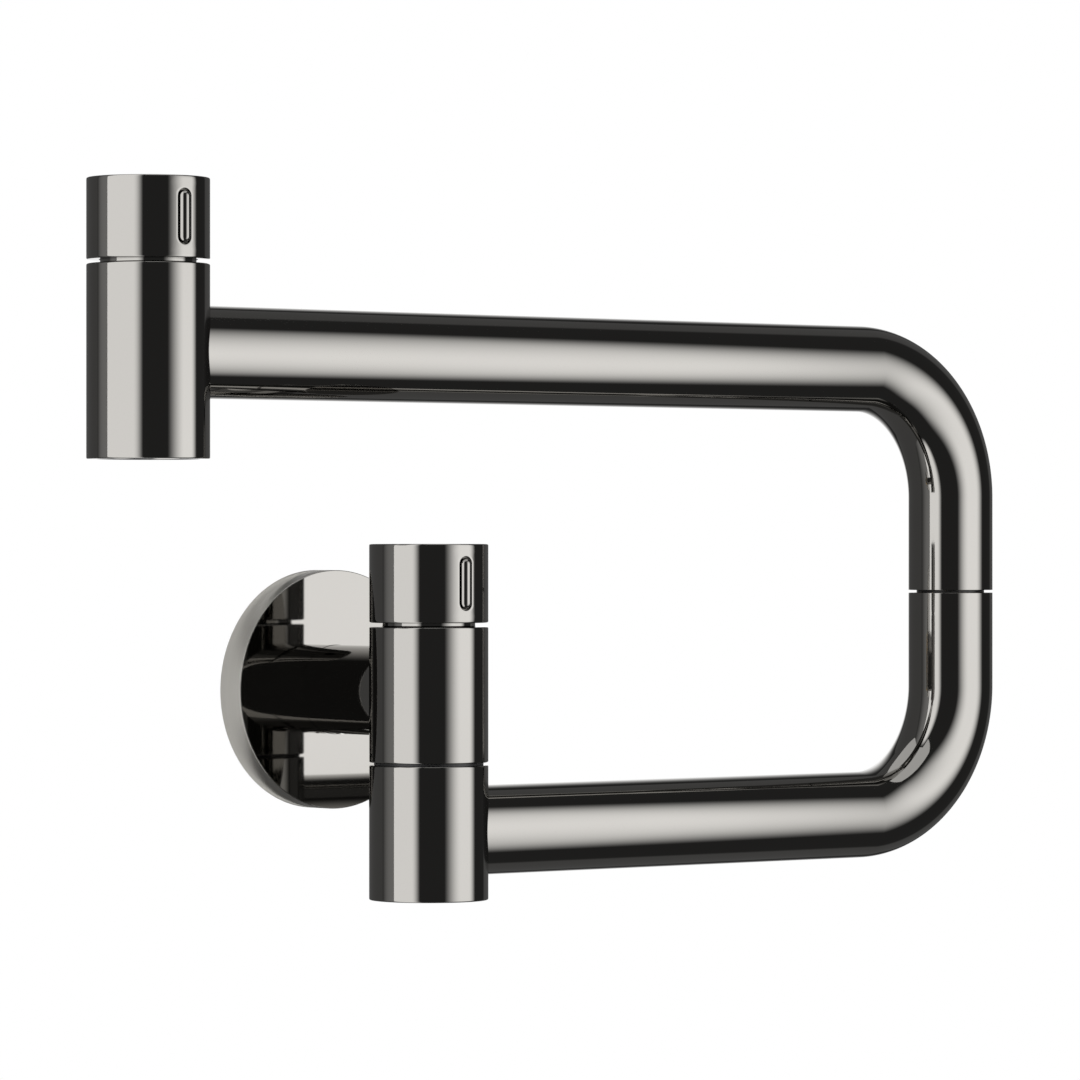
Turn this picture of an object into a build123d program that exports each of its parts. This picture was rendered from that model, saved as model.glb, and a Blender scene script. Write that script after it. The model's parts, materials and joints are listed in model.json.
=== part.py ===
from build123d import *
from math import radians, tan
import os

# Wall mounted pot filler: two jointed pipe arms that fold over a valve column on the wall.
# Millimetres. +X runs to the right along the wall, +Y into the wall, +Z up.
# The origin is on the inlet axis, at the face of the wall.

# ---------------------------------------------------------------- driving sizes

# layout
wall_to_column = 45.2  # wall face to the axis of the valve column
lower_arm_reach = 174.0  # valve column axis to elbow axis
upper_arm_reach = 257.6  # elbow axis to outlet column axis
arm_spacing = 114.9  # between the two level pipes, axis to axis

# pipes
pipe_od = 22.0
pipe_wall = 1.5
bend_radius = 33.0  # on the pipe's axis

# both columns
column_od = 29.0
edge_chamfer = 0.4
knob_height = 19.1
knob_gap = 1.0  # groove between knob and body
neck_od = 22.6  # turned neck that shows in that groove
neck_in_knob = 3.0  # how far the neck reaches into the knob
valve_body_height = 32.85
body_drop = 0.525  # middle of the valve body below the inlet axis
swivel_gap = 0.65  # groove between valve body and swivel housing
swivel_housing_height = 32.7
lower_arm_rise = 0.15  # pipe axis above the middle of the swivel housing
outlet_body_above_arm = 20.3  # body top above the upper pipe's axis
outlet_body_below_arm = 25.3  # outlet mouth below it

# clearances
running_fit = 0.05  # radial, shaft in bearing
knob_clearance = 0.3  # radial, knob around the neck
axial_play = 0.1
mouth_recess = 0.5  # aerator above the outlet's rim

# seal grooves of every journal
groove_depth = 1.2
groove_width = 1.8

# wall cover and inlet
flange_od = 59.0
flange_depth = 8.3
flange_wall = 2.0
flange_boss_od = 30.0
flange_boss_depth = 3.2  # length of the hole that slides on the stub
flange_ring_width = 1.6
flange_ring_height = 1.5
flange_seal_width = 2.0
flange_seal_depth = 3.0
flange_chamfer = 0.25
thread_od = 20.96  # G 1/2 male thread, over its crests
thread_in_wall = 14.0
thread_proud = 1.2  # thread in front of the wall face
hexagon_across_flats = 24.0
hexagon_depth = 3.8
nipple_spigot_od = 16.0
nipple_spigot_length = 16.0
nipple_bore = 11.0
nipple_ring_offsets = (4.0, 11.0)  # seals, from the hexagon
strainer_thickness = 2.5
strainer_mesh_od = 12.0
strainer_mesh_depth = 1.0
stub_passage = 13.0
stub_screw_od = 5.0
stub_screw_offset = 7.5  # from the hexagon, between the seals
screw_socket_flats = 2.0
screw_socket_depth = 1.6

# ceramic valve, the same in both columns; heights are above its seat
port_bore = 9.5  # passage from the pipe into the valve chamber
port_lift = 0.25  # lowest point of that passage above the seat
outlet_port_rise = 4.0  # passage axis above the upper pipe's axis
chamber_bore = 21.0
chamber_height = 15.5
seat_bore = 10.0
seat_web = 3.5
cartridge_thread_od = 18.0
cartridge_nose_od = 16.0
cartridge_bore = 13.0
cartridge_lift = 0.4  # nose above the seat, the seal bridges it
cartridge_hex_flats = 19.0
cartridge_hex_height = 2.5
cartridge_barrel_od = 13.0
cartridge_barrel_height = 2.5
window_width = 7.0
window_height = 4.5
seal_thickness = 3.0
seal_bore = 9.4
disc_thickness = 3.0
disc_clearance = 0.1  # radial, moving disc in its housing
disc_hub_radius = 1.9
disc_port_radius = 5.2
disc_port_half_angle = 38.0  # half of each opening's sector
driver_height = 6.0  # from the moving disc up to the driver's collar
driver_width = 3.0
driver_length = 9.0
driver_grip = 1.2  # how far it drops into the disc's groove
collar_height = 2.0
spindle_od = 8.0
spindle_flat = 1.0  # depth of the flat under the set screw
spindle_in_knob = 7.0

# knob
knob_cavity_depth = 8.5
knob_top_space = 0.5  # above the spindle's end
slot_width = 3.8
slot_height = 13.1
slot_depth = 1.9
inlay_gap = 0.45  # all round the inlay
inlay_proud = 1.1
knob_screw_od = 4.0
knob_screw_length = 5.0
knob_screw_rise = 12.8  # above the knob's lower rim

# swivel under the valve body
spigot_thread_od = 18.0
spigot_thread_length = 8.0
spigot_bore = 9.0
upper_journal_od = 16.0
upper_bearing_length = 9.7
lower_journal_od = 13.0
swivel_bore = 22.0  # chamber in the swivel housing
swivel_port = 12.6  # from that chamber into the lower pipe
spigot_window_width = 6.0
spigot_window_margin = 2.0  # below the upper journal and above the lower one
slip_ring_od = 26.6
bush_height = 4.5
bush_above_plug = 2.6
end_plug_thickness = 2.0
end_plug_hex = 8.0
end_plug_hex_depth = 1.2
snap_ring_thickness = 1.0
snap_ring_height = 1.2
snap_ring_depth = 0.9  # how deep it sits in the journal
spigot_tail = 0.9  # journal beyond the retaining ring

# elbow joint
elbow_gap = 0.7
elbow_ring_od = 17.6
elbow_journal_od = 15.0
elbow_bore = 10.5
elbow_sleeve_length = 18.0
elbow_socket_length = 21.0
elbow_journal_end = 1.5  # socket beyond the journal's end
elbow_ring_heights = (4.0, 15.0)  # seals, above the joint
elbow_snap_height = 9.5
elbow_snap_bite = 0.6  # how deep the snap ring sits in the socket

# aerator
aerator_od = 24.0
aerator_height = 9.5
aerator_wall = 1.8
aerator_lip = 1.2
aerator_lip_width = 1.5
washer_thickness = 2.0
washer_bore = 17.0
outlet_chamber_bore = 18.0
insert_wall = 1.6
insert_plate = 2.6
honeycomb_pitch = 3.3
honeycomb_flats = 2.6
honeycomb_rings = 2

# ---------------------------------------------------------------- derived places

pipe_radius = pipe_od / 2
pipe_bore_radius = pipe_radius - pipe_wall
column_radius = column_od / 2
column_y = -wall_to_column
elbow_x = lower_arm_reach
outlet_x = lower_arm_reach - upper_arm_reach

body_top = valve_body_height / 2 - body_drop
body_bottom = body_top - valve_body_height
housing_top = body_bottom - swivel_gap
housing_bottom = housing_top - swivel_housing_height
lower_arm_z = (housing_top + housing_bottom) / 2 + lower_arm_rise
upper_arm_z = lower_arm_z + arm_spacing
elbow_z = (lower_arm_z + upper_arm_z) / 2
elbow_low = elbow_z - elbow_gap / 2
elbow_high = elbow_z + elbow_gap / 2
outlet_top = upper_arm_z + outlet_body_above_arm
outlet_bottom = upper_arm_z - outlet_body_below_arm

# valve seats: the passage into the chamber just clears the seat
port_rise = port_bore / 2 + port_lift
valve_seat_z = -port_rise
outlet_seat_z = upper_arm_z + outlet_port_rise - port_rise
valve_neck_top = body_top + knob_gap + neck_in_knob
outlet_neck_top = outlet_top + knob_gap + neck_in_knob

# places along the inlet axis, measured out from the wall
hexagon_end = thread_proud + hexagon_depth
nipple_end = hexagon_end + nipple_spigot_length
strainer_end = nipple_end + strainer_thickness
stub_screw_place = hexagon_end + stub_screw_offset

column_axis = Location((0, column_y, 0))
elbow_axis = Location((elbow_x, column_y, 0))
outlet_axis = Location((outlet_x, column_y, 0))
out_of_wall = Plane(origin=(0, 0, 0), x_dir=(1, 0, 0), z_dir=(0, -1, 0)).location


# ---------------------------------------------------------------- helpers


def turned(*outline):
    """Body of revolution about Z from a closed outline of (radius, height) points."""
    wire = Polyline(*[(radius, 0, height) for radius, height in outline], close=True)
    return revolve(make_face(wire), Axis.Z)


def ring(outer, inner, low, high):
    """Flat ring or bush between two heights, by its outer and inner radius."""
    return turned((inner, low), (outer, low), (outer, high), (inner, high))


def rod(radius, low, high):
    """Solid round bar along Z between two heights."""
    return Pos(0, 0, low) * extrude(Circle(radius), high - low)


def hexagon(flats, low, high):
    """Hexagonal bar along Z, by its width across the flats."""
    return Pos(0, 0, low) * extrude(RegularPolygon(flats / 2, 6, major_radius=False), high - low)


def facing(direction, part, height=0):
    """Turn a part made along Z so that it runs along a level direction at a height."""
    return Plane(origin=(0, 0, height), z_dir=direction).location * part


def seal_rings(journal_radius, heights):
    """Seal rings that fill the grooves of a journal, around the given heights."""
    floor = journal_radius - groove_depth
    half = groove_width / 2
    return Part() + [ring(journal_radius, floor, middle - half, middle + half) for middle in heights]


def set_screw(diameter, length):
    """Headless screw along Z, its tip at the origin and a hexagon socket at the far end."""
    socket = hexagon(screw_socket_flats, length - screw_socket_depth, length)
    return rod(diameter / 2, 0, length) - socket


def save(name, part):
    export_step(part, f"parts/{name}.step")


# ---------------------------------------------------------------- wall cover and inlet


def make_wall_flange():
    """Turned cup: flat front, thin rim to the wall, and a grooved hole that slides on the stub."""
    outer = flange_od / 2
    inner = outer - flange_wall
    hole = pipe_radius + running_fit
    boss_start = flange_depth - flange_boss_depth
    plate_back = flange_depth - flange_wall
    body = turned(
        (inner, 0),
        (outer - flange_chamfer, 0),
        (outer, flange_chamfer),
        (outer, flange_depth - flange_chamfer),
        (outer - flange_chamfer, flange_depth),
        (hole, flange_depth),
        (hole, boss_start),
        (flange_boss_od / 2, boss_start),
        (flange_boss_od / 2, plate_back),
        (inner, plate_back),
    )
    groove = make_flange_ring(hole)
    return body - groove


def make_flange_ring(inner):
    """Ring in the middle of the flange's hole, from an inner radius to the groove's floor."""
    middle = flange_depth - flange_boss_depth / 2
    low = middle - flange_ring_width / 2
    high = middle + flange_ring_width / 2
    return ring(pipe_radius + flange_ring_height, inner, low, high)


def make_flange_seal():
    outer = flange_od / 2 - flange_wall
    return ring(outer, outer - flange_seal_width, 0, flange_seal_depth)


def make_inlet_nipple():
    """Threaded end for the wall fitting, hexagon collar, and a smooth grooved spigot."""
    spigot = nipple_spigot_od / 2
    thread = rod(thread_od / 2, -thread_in_wall, thread_proud)
    collar = hexagon(hexagon_across_flats, thread_proud, hexagon_end)
    nose = rod(spigot, hexagon_end, nipple_end)
    heights = [hexagon_end + offset for offset in nipple_ring_offsets]
    passage = rod(nipple_bore / 2, -thread_in_wall, nipple_end)
    return thread + collar + nose - seal_rings(spigot, heights) - passage


def make_inlet_strainer():
    """Rubber washer behind the nipple with a dished screen across it."""
    outer = nipple_spigot_od / 2
    washer = ring(outer, strainer_mesh_od / 2, nipple_end, strainer_end)
    middle = (nipple_end + strainer_end - strainer_mesh_depth) / 2
    return washer + rod(strainer_mesh_od / 2, middle, middle + strainer_mesh_depth)


def make_supply_stub():
    """Pipe from the nipple to the valve body, saddle-cut to the column."""
    bore = nipple_spigot_od / 2 + running_fit
    stub = turned(
        (bore, hexagon_end),
        (pipe_radius, hexagon_end),
        (pipe_radius, wall_to_column),
        (stub_passage / 2, wall_to_column),
        (stub_passage / 2, strainer_end),
        (bore, strainer_end),
    )
    stub = out_of_wall * stub - column_axis * rod(column_radius, body_bottom, body_top)
    hole = rod(stub_screw_od / 2, 0, pipe_od)
    return stub - Pos(0, -stub_screw_place, 0) * facing((0, 0, -1), hole)


def make_stub_screw():
    """Set screw from below, its tip on the nipple's spigot."""
    tip = nipple_spigot_od / 2
    screw = Pos(0, 0, tip) * set_screw(stub_screw_od, pipe_radius - tip - axial_play)
    return Pos(0, -stub_screw_place, 0) * facing((0, 0, -1), screw)


# ---------------------------------------------------------------- ceramic valve


def valve_chamber(neck_top):
    """Space that a valve body leaves for its cartridge, from the seat to the neck's top."""
    chamber = rod(chamber_bore / 2, 0, chamber_height)
    thread = rod(cartridge_thread_od / 2, chamber_height, neck_top)
    return chamber + thread


def disc_bottom():
    return seal_thickness + disc_thickness


def collar_bottom():
    return disc_bottom() + disc_thickness + driver_height


def make_cartridge(neck_top):
    """Screwed-in housing with two side windows, a hexagon on the neck and a short barrel."""
    inner = cartridge_bore / 2
    shaft = spindle_od / 2 + running_fit
    shoulder = collar_bottom() + collar_height + axial_play
    hex_top = neck_top + cartridge_hex_height
    barrel_top = hex_top + cartridge_barrel_height
    housing = turned(
        (inner, cartridge_lift),
        (cartridge_nose_od / 2, cartridge_lift),
        (cartridge_nose_od / 2, chamber_height),
        (cartridge_thread_od / 2, chamber_height),
        (cartridge_thread_od / 2, neck_top),
        (cartridge_barrel_od / 2, neck_top),
        (cartridge_barrel_od / 2, barrel_top),
        (shaft, barrel_top),
        (shaft, shoulder),
        (inner, shoulder),
    )
    housing += hexagon(cartridge_hex_flats, neck_top, hex_top) - rod(shaft, neck_top, hex_top)
    window_middle = disc_bottom() + disc_thickness + driver_height / 2
    window = Pos(0, 0, window_middle) * Box(cartridge_nose_od, window_width, window_height)
    return housing - window


def make_cartridge_seal():
    return ring(cartridge_bore / 2 - running_fit, seal_bore / 2, 0, seal_thickness)


def disc_openings(direction):
    """Two opposite sector openings through a ceramic disc, about a level direction in degrees."""
    reach = disc_port_radius * 2
    spread = reach * tan(radians(disc_port_half_angle))
    wedge = make_face(Polyline((0, 0), (reach, -spread), (reach, spread), close=True))
    wedges = PolarLocations(0, 2, start_angle=direction) * wedge
    annulus = Circle(disc_port_radius) - Circle(disc_hub_radius)
    return extrude(annulus & (Sketch() + wedges), disc_thickness)


def make_fixed_disc():
    blank = rod(cartridge_bore / 2 - running_fit, 0, disc_thickness)
    return Pos(0, 0, seal_thickness) * (blank - disc_openings(0))


def make_moving_disc():
    """Shut at rest: its openings stand a quarter turn from those of the fixed disc."""
    blank = rod(cartridge_bore / 2 - disc_clearance, 0, disc_thickness)
    groove = Pos(0, 0, disc_thickness - driver_grip / 2) * Box(driver_length, driver_width, driver_grip)
    return Pos(0, 0, disc_bottom()) * (blank - disc_openings(90) - groove)


def make_spindle(knob_bottom):
    """Driver blade, collar under the housing's shoulder, and the shaft up into the knob."""
    shaft = spindle_od / 2
    blade_low = disc_bottom() + disc_thickness - driver_grip
    blade_height = driver_height + driver_grip
    blade = Pos(0, 0, blade_low + blade_height / 2) * Box(driver_length, driver_width, blade_height)
    collar_top = collar_bottom() + collar_height
    collar = rod(cartridge_bore / 2 - disc_clearance, collar_bottom(), collar_top)
    top = knob_bottom + knob_cavity_depth + spindle_in_knob
    spindle = blade + collar + rod(shaft, collar_top, top)
    flat_length = top - knob_bottom - knob_cavity_depth
    flat = Box(spindle_od, spindle_flat, flat_length, align=(Align.CENTER, Align.MAX, Align.MAX))
    return spindle - Pos(0, shaft, top) * flat


# ---------------------------------------------------------------- knob


def make_knob():
    """Turned cap over the neck, bored for the spindle, with the upright slot of its inlay."""
    outer = column_radius
    skirt = neck_od / 2 + knob_clearance
    bore = spindle_od / 2
    bore_top = knob_cavity_depth + spindle_in_knob + knob_top_space
    knob = turned(
        (skirt, 0),
        (outer - edge_chamfer, 0),
        (outer, edge_chamfer),
        (outer, knob_height - edge_chamfer),
        (outer - edge_chamfer, knob_height),
        (0, knob_height),
        (0, bore_top),
        (bore, bore_top),
        (bore, knob_cavity_depth),
        (skirt, knob_cavity_depth),
    )
    slot = Pos(0, 0, column_radius - slot_depth) * extrude(
        SlotOverall(slot_height, slot_width, rotation=90), slot_depth * 2
    )
    knob -= on_knob_front(slot)
    screw_hole = rod(knob_screw_od / 2, 0, column_od)
    return knob - facing((0, 1, 0), screw_hole, knob_screw_rise)


def on_knob_front(part):
    """Stand a part made on the XY plane upright on the knob's front, half way up."""
    front = Plane(origin=(0, 0, knob_height / 2), x_dir=(1, 0, 0), z_dir=(0, -1, 0))
    return front.location * part


def make_inlay():
    """Half-round bar with round ends, on a straight foot that fills the slot's depth."""
    length = slot_height - 2 * inlay_gap
    width = slot_width - 2 * inlay_gap
    radius = width / 2
    floor = column_radius - slot_depth
    crown = column_radius + inlay_proud - radius
    foot = Pos(0, 0, floor) * extrude(SlotOverall(length, width, rotation=90), crown - floor)
    straight = length - width
    bar = Pos(0, 0, crown) * facing((0, 1, 0), rod(radius, -straight / 2, straight / 2))
    ends = [Pos(0, side * straight / 2, crown) * Sphere(radius) for side in (-1, 1)]
    keep = Pos(0, 0, floor) * extrude(Rectangle(column_od, column_od), column_od)
    return on_knob_front((foot + bar + ends) & keep)


def make_knob_screw():
    """Set screw at the knob's back, its tip on the spindle's flat."""
    tip = spindle_od / 2 - spindle_flat
    return facing((0, 1, 0), Pos(0, 0, tip) * set_screw(knob_screw_od, knob_screw_length), knob_screw_rise)


def save_valve(prefix, axis, seat_z, neck_top):
    """All pieces of one shut-off valve: cartridge, discs, spindle and knob."""
    seat = axis * Pos(0, 0, seat_z)
    neck = neck_top - seat_z
    knob_bottom = neck - neck_in_knob
    at_knob = seat * Pos(0, 0, knob_bottom)
    save(f"{prefix}_cartridge", seat * make_cartridge(neck))
    save(f"{prefix}_cartridge_seal", seat * make_cartridge_seal())
    save(f"{prefix}_fixed_disc", seat * make_fixed_disc())
    save(f"{prefix}_moving_disc", seat * make_moving_disc())
    save(f"{prefix}_spindle", seat * make_spindle(knob_bottom))
    save(f"{prefix}_knob", at_knob * make_knob())
    save(f"{prefix}_knob_inlay", at_knob * make_inlay())
    save(f"{prefix}_knob_screw", at_knob * make_knob_screw())


# ---------------------------------------------------------------- valve body and swivel


def column_blank(bottom, top, neck_top):
    """Outside of a valve column: chamfered cylinder with the narrower neck on top."""
    return turned(
        (0, bottom),
        (column_radius - edge_chamfer, bottom),
        (column_radius, bottom + edge_chamfer),
        (column_radius, top - edge_chamfer),
        (column_radius - edge_chamfer, top),
        (neck_od / 2, top),
        (neck_od / 2, neck_top),
        (0, neck_top),
    )


def make_valve_body():
    blank = column_blank(body_bottom, body_top, valve_neck_top)
    chamber = Pos(0, 0, valve_seat_z) * valve_chamber(valve_neck_top - valve_seat_z)
    outlet = rod(seat_bore / 2, body_bottom, valve_seat_z)
    socket = rod(spigot_thread_od / 2, body_bottom, body_bottom + spigot_thread_length)
    port = facing((0, 1, 0), rod(port_bore / 2, 0, column_od))
    return column_axis * (blank - chamber - outlet - socket - port)


def make_swivel_spigot():
    """Hollow post screwed into the valve body: two grooved journals with windows between them."""
    upper = upper_journal_od / 2
    lower = lower_journal_od / 2
    upper_end = housing_top - upper_bearing_length
    tail = retaining_ring_z() - snap_ring_thickness - spigot_tail
    bore_end = bush_top()
    post = turned(
        (spigot_bore / 2, body_bottom + spigot_thread_length),
        (spigot_thread_od / 2, body_bottom + spigot_thread_length),
        (spigot_thread_od / 2, body_bottom),
        (upper, body_bottom),
        (upper, upper_end),
        (lower, upper_end),
        (lower, tail),
        (0, tail),
        (0, bore_end),
        (spigot_bore / 2, bore_end),
    )
    window_height = upper_end - bore_end - 2 * spigot_window_margin
    window = Box(column_od, spigot_window_width, window_height)
    post -= Pos(0, 0, (upper_end + bore_end) / 2) * window
    grooves = make_swivel_rings_local() + make_retaining_ring_local(lower - snap_ring_depth)
    return column_axis * (post - grooves)


def plug_top():
    return housing_bottom + end_plug_thickness


def bush_top():
    return plug_top() + bush_above_plug + bush_height


def retaining_ring_z():
    """Upper face of the ring that holds the bush, and with it the housing, on the post."""
    return bush_top() - bush_height - axial_play


def make_swivel_rings_local():
    upper_middle = housing_top - upper_bearing_length / 2
    lower_middle = bush_top() - bush_height / 2
    upper = seal_rings(upper_journal_od / 2, [upper_middle])
    lower = seal_rings(lower_journal_od / 2, [lower_middle])
    return upper + lower


def make_retaining_ring_local(inner):
    top = retaining_ring_z()
    return ring(lower_journal_od / 2 + snap_ring_height, inner, top - snap_ring_thickness, top)


def make_slip_ring():
    return column_axis * ring(slip_ring_od / 2, upper_journal_od / 2, housing_top, body_bottom)


def make_swivel_housing():
    """Lower third of the column: bearing at its top, wide bore from below, port to the pipe."""
    bearing = upper_journal_od / 2 + running_fit
    bearing_end = housing_top - upper_bearing_length
    housing = turned(
        (bearing, housing_top),
        (column_radius - edge_chamfer, housing_top),
        (column_radius, housing_top - edge_chamfer),
        (column_radius, housing_bottom + edge_chamfer),
        (column_radius - edge_chamfer, housing_bottom),
        (swivel_bore / 2, housing_bottom),
        (swivel_bore / 2, bearing_end),
        (bearing, bearing_end),
    )
    port = facing((1, 0, 0), rod(swivel_port / 2, 0, column_od), lower_arm_z)
    return column_axis * (housing - port)


def make_swivel_bush():
    inner = lower_journal_od / 2 + running_fit
    return column_axis * ring(swivel_bore / 2, inner, bush_top() - bush_height, bush_top())


def make_end_plug():
    """Screwed plug, flush with the housing, with a hexagon socket below."""
    plug = rod(swivel_bore / 2, housing_bottom, plug_top())
    socket = hexagon(end_plug_hex, housing_bottom, housing_bottom + end_plug_hex_depth)
    return column_axis * (plug - socket)


# ---------------------------------------------------------------- arms and elbow


def bent_pipe(start, level, end):
    """Pipe that leaves a column level, turns on the elbow axis and stands upright to a height."""
    route = FilletPolyline(
        (start, column_y, level), (elbow_x, column_y, level), (elbow_x, column_y, end), radius=bend_radius
    )
    section = Plane(origin=route @ 0, z_dir=route % 0)
    annulus = section * (Circle(pipe_radius) - Circle(pipe_bore_radius))
    return sweep(annulus, path=route)


def make_lower_pipe():
    pipe = bent_pipe(0, lower_arm_z, elbow_low)
    return pipe - column_axis * rod(column_radius, housing_bottom, housing_top)


def make_upper_pipe():
    pipe = bent_pipe(outlet_x, upper_arm_z, elbow_high)
    return pipe - outlet_axis * rod(column_radius, outlet_bottom, outlet_top)


def elbow_snap(outer, inner):
    """Ring space at the snap ring's height above the joint."""
    low = elbow_high + elbow_snap_height
    return ring(outer, inner, low, low + snap_ring_thickness)


def elbow_seals():
    return seal_rings(elbow_journal_od / 2, [elbow_high + height for height in elbow_ring_heights])


def make_elbow_spigot():
    """Sleeve in the lower pipe's end with the journal on which the upper arm turns."""
    journal = elbow_journal_od / 2
    top = elbow_high + elbow_socket_length - elbow_journal_end
    spigot = turned(
        (elbow_bore / 2, elbow_low - elbow_sleeve_length),
        (pipe_bore_radius, elbow_low - elbow_sleeve_length),
        (pipe_bore_radius, elbow_low),
        (journal, elbow_low),
        (journal, top),
        (elbow_bore / 2, top),
    )
    return elbow_axis * (spigot - elbow_seals() - elbow_snap(journal, journal - snap_ring_depth))


def make_elbow_socket():
    """Bearing sleeve in the upper pipe's end, with the inner groove of the snap ring."""
    bore = elbow_journal_od / 2 + running_fit
    sleeve = ring(pipe_bore_radius, bore, elbow_high, elbow_high + elbow_socket_length)
    groove_outer = elbow_journal_od / 2 + elbow_snap_bite + axial_play
    low = elbow_high + elbow_snap_height - axial_play
    groove = ring(groove_outer, bore, low, low + snap_ring_thickness + 2 * axial_play)
    return elbow_axis * (sleeve - groove)


def make_elbow_snap_ring():
    journal = elbow_journal_od / 2
    return elbow_axis * elbow_snap(journal + elbow_snap_bite, journal - snap_ring_depth)


def make_elbow_slip_ring():
    return elbow_axis * ring(elbow_ring_od / 2, elbow_journal_od / 2, elbow_low, elbow_high)


# ---------------------------------------------------------------- outlet


def aerator_top():
    return outlet_bottom + mouth_recess + aerator_height


def make_outlet_body():
    """Column of the second valve, with the recess of the aerator in its mouth."""
    blank = column_blank(outlet_bottom, outlet_top, outlet_neck_top)
    chamber = Pos(0, 0, outlet_seat_z) * valve_chamber(outlet_neck_top - outlet_seat_z)
    seat_hole = rod(seat_bore / 2, outlet_seat_z - seat_web, outlet_seat_z)
    recess_top = aerator_top() + washer_thickness
    still = rod(outlet_chamber_bore / 2, recess_top, outlet_seat_z - seat_web)
    recess = rod(aerator_od / 2, outlet_bottom, recess_top)
    port = facing((1, 0, 0), rod(port_bore / 2, 0, column_od), outlet_seat_z + port_rise)
    return outlet_axis * (blank - chamber - seat_hole - still - recess - port)


def make_aerator_housing():
    """Screwed ring with an inner lip that carries the insert."""
    bottom = outlet_bottom + mouth_recess
    outer = aerator_od / 2
    inner = outer - aerator_wall
    lip = inner - aerator_lip_width
    return outlet_axis * turned(
        (lip, bottom),
        (outer, bottom),
        (outer, aerator_top()),
        (inner, aerator_top()),
        (inner, bottom + aerator_lip),
        (lip, bottom + aerator_lip),
    )


def make_aerator_insert():
    """Plastic cup whose floor is a honeycomb of straight channels."""
    bottom = outlet_bottom + mouth_recess
    shoulder = aerator_od / 2 - aerator_wall
    nose = shoulder - aerator_lip_width
    floor_top = bottom + insert_plate
    cup = turned(
        (0, bottom),
        (nose, bottom),
        (nose, bottom + aerator_lip),
        (shoulder, bottom + aerator_lip),
        (shoulder, aerator_top()),
        (shoulder - insert_wall, aerator_top()),
        (shoulder - insert_wall, floor_top),
        (0, floor_top),
    )
    side = 2 * honeycomb_rings + 1
    reach = honeycomb_pitch * (honeycomb_rings + 0.5)
    cells = []
    for spot in HexLocations(honeycomb_pitch / 2, side, side):
        if Vector(spot.position).length < reach:
            cells.append(spot * RegularPolygon(honeycomb_flats / 2, 6, major_radius=False))
    channels = Pos(0, 0, bottom) * extrude(Sketch() + cells, insert_plate)
    return outlet_axis * (cup - channels)


def make_aerator_washer():
    low = aerator_top()
    return outlet_axis * ring(aerator_od / 2, washer_bore / 2, low, low + washer_thickness)


# ---------------------------------------------------------------- write every piece

os.makedirs("parts", exist_ok=True)

save("wall_flange", out_of_wall * make_wall_flange())
save("flange_ring", out_of_wall * make_flange_ring(pipe_radius))
save("flange_seal", out_of_wall * make_flange_seal())
save("inlet_nipple", out_of_wall * make_inlet_nipple())
nipple_heights = [hexagon_end + offset for offset in nipple_ring_offsets]
save("nipple_rings", out_of_wall * seal_rings(nipple_spigot_od / 2, nipple_heights))
save("inlet_strainer", out_of_wall * make_inlet_strainer())
save("supply_stub", make_supply_stub())
save("stub_screw", make_stub_screw())

save("valve_body", make_valve_body())
save_valve("wall", column_axis, valve_seat_z, valve_neck_top)

save("swivel_spigot", make_swivel_spigot())
save("swivel_rings", column_axis * make_swivel_rings_local())
save("swivel_slip_ring", make_slip_ring())
save("swivel_retaining_ring", column_axis * make_retaining_ring_local(lower_journal_od / 2 - snap_ring_depth))
save("swivel_housing", make_swivel_housing())
save("swivel_bush", make_swivel_bush())
save("swivel_end_plug", make_end_plug())

save("lower_arm_pipe", make_lower_pipe())
save("elbow_spigot", make_elbow_spigot())
save("elbow_rings", elbow_axis * elbow_seals())
save("elbow_slip_ring", make_elbow_slip_ring())
save("elbow_snap_ring", make_elbow_snap_ring())
save("elbow_socket", make_elbow_socket())
save("upper_arm_pipe", make_upper_pipe())

save("outlet_body", make_outlet_body())
save_valve("outlet", outlet_axis, outlet_seat_z, outlet_neck_top)
save("aerator_housing", make_aerator_housing())
save("aerator_insert", make_aerator_insert())
save("aerator_washer", make_aerator_washer())
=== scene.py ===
# %% [markdown]
# A wall mounted pot filler: a valve column on a short stub, and two bent pipe arms that fold
# over it and end in a second valve column with the outlet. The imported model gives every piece
# its place and its motion. This script gives the pieces their looks, and starts by loading it.

import json
from math import atan2, cos, pi, radians, sin, sqrt

import bmesh
import bpy
from mathutils import Matrix, Vector


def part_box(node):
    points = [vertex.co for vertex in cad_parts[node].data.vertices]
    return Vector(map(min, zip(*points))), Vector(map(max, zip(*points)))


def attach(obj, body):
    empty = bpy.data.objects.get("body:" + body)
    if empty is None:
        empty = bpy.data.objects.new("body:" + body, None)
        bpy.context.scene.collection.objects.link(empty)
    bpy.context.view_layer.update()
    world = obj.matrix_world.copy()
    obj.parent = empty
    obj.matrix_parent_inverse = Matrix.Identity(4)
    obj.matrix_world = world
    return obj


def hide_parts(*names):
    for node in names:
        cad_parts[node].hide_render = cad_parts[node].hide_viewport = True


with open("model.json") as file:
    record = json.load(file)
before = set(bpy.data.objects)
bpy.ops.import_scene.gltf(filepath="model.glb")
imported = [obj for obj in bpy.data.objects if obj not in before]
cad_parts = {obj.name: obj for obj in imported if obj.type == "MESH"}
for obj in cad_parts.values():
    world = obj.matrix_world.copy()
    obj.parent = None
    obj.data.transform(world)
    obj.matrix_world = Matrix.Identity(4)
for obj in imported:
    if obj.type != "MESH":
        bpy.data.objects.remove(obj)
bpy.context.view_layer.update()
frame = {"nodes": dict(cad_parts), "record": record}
nodes = frame["nodes"]

# %% [markdown]
# All sizes here are metres. The places and outer sizes of the pieces are read from the packed
# nodes, so that the looks follow the model. What a box can't tell, such as the bend of a pipe
# or the depth of a slot, is named here once, in millimetres times MM.

# %% Named sizes
MM = 0.001
FULL_TURN = 2 * pi
QUARTER_TURN = pi / 2

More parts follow.
